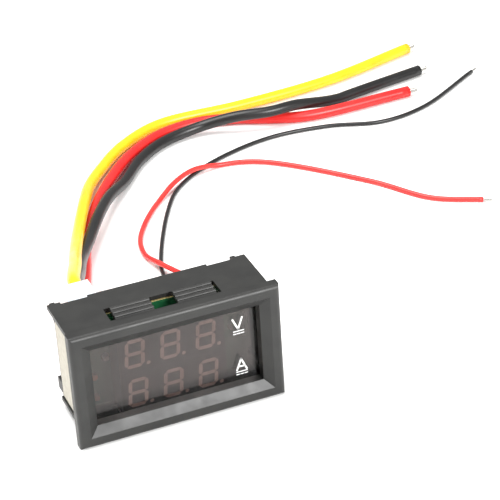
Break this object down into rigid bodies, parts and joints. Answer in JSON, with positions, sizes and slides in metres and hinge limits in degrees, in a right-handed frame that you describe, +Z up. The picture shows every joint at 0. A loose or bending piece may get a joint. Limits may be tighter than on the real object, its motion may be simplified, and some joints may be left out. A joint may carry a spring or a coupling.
{
  "type": "digital panel meter",
  "caption": "Snap-in digital panel meter for direct voltage and current: black rectangular bezel, smoked window over two rows of seven-segment digits, plug-in measuring and supply wires.",
  "frame": {"origin": "middle of the bezel's bottom edge, in the plane of the bezel's rear face, where it seats on the panel", "axes": "+X to the reader's right, +Y to the rear through the panel, +Z up"},
  "size_m": [0.1614, 0.1462, 0.0284],
  "materials": {
    "housing_plastic": "fine spark-eroded texture, satin",
    "window_acrylic": "clear smoked acrylic, polished",
    "label_paper": "matt white paper, slightly mottled",
    "display_case": "matt black face, moulded case",
    "segment_diffuser": "milky unlit diffuser",
    "tinned_pin": "tin-plated",
    "board_laminate": "glass-epoxy laminate under green solder mask",
    "header_nylon": "natural nylon, cream",
    "plug_nylon": "white nylon, slightly translucent",
    "trimmer_case": "blue moulded case",
    "trimmer_rotor": "plated, with a cross slot",
    "shunt_alloy": "drawn copper-manganese bar, dull",
    "chip_epoxy": "moulded epoxy, fine texture",
    "resistor_ceramic": "black glaze with tinned ends",
    "capacitor_ceramic": "tan ceramic with tinned ends",
    "yellow_insulation": "soft smooth insulation",
    "black_insulation": "soft smooth insulation",
    "red_insulation": "soft smooth insulation",
    "tinned_copper": "twisted strands dipped in solder"
  },
  "bodies": {
    "meter": {"housing": "housing_plastic", "lens": "window_acrylic", "side_label": "label_paper", "upper_display": "display_case", "lower_display": "display_case", "upper_segments": "segment_diffuser", "lower_segments": "segment_diffuser", "upper_display_pins": "tinned_pin", "lower_display_pins": "tinned_pin", "circuit_board": "board_laminate", "measuring_header": "header_nylon", "measuring_header_pins": "tinned_pin", "measuring_plug": "plug_nylon", "measuring_terminals": "tinned_pin", "supply_header": "header_nylon", "supply_header_pins": "tinned_pin", "supply_plug": "plug_nylon", "supply_terminals": "tinned_pin", "voltage_trimmer": "trimmer_case", "current_trimmer": "trimmer_case", "shunt": "shunt_alloy", "microcontroller": "chip_epoxy", "amplifier": "chip_epoxy", "regulator": "chip_epoxy", "chip_leads": "tinned_pin", "resistors": "resistor_ceramic", "capacitors": "capacitor_ceramic", "diode": "chip_epoxy", "yellow_wire": "yellow_insulation", "black_wire": "black_insulation", "red_wire": "red_insulation", "supply_black_wire": "black_insulation", "supply_red_wire": "red_insulation", "yellow_wire_end": "tinned_copper", "black_wire_end": "tinned_copper", "red_wire_end": "tinned_copper", "supply_black_wire_end": "tinned_copper", "supply_red_wire_end": "tinned_copper"},
    "voltage_rotor": {"voltage_trimmer_rotor": "trimmer_rotor"},
    "current_rotor": {"current_trimmer_rotor": "trimmer_rotor"}
  },
  "joints": [
    {"name": "voltage_trim", "type": "hinge", "parent": "meter", "child": "voltage_rotor", "pos_m": [0.0036, 0.0108, 0.0066], "axis": [0, 1, 0], "range_deg": [-120, 120]},
    {"name": "current_trim", "type": "hinge", "parent": "meter", "child": "current_rotor", "pos_m": [0.0094, 0.0108, 0.0066], "axis": [0, 1, 0], "range_deg": [-120, 120]}
  ]
}
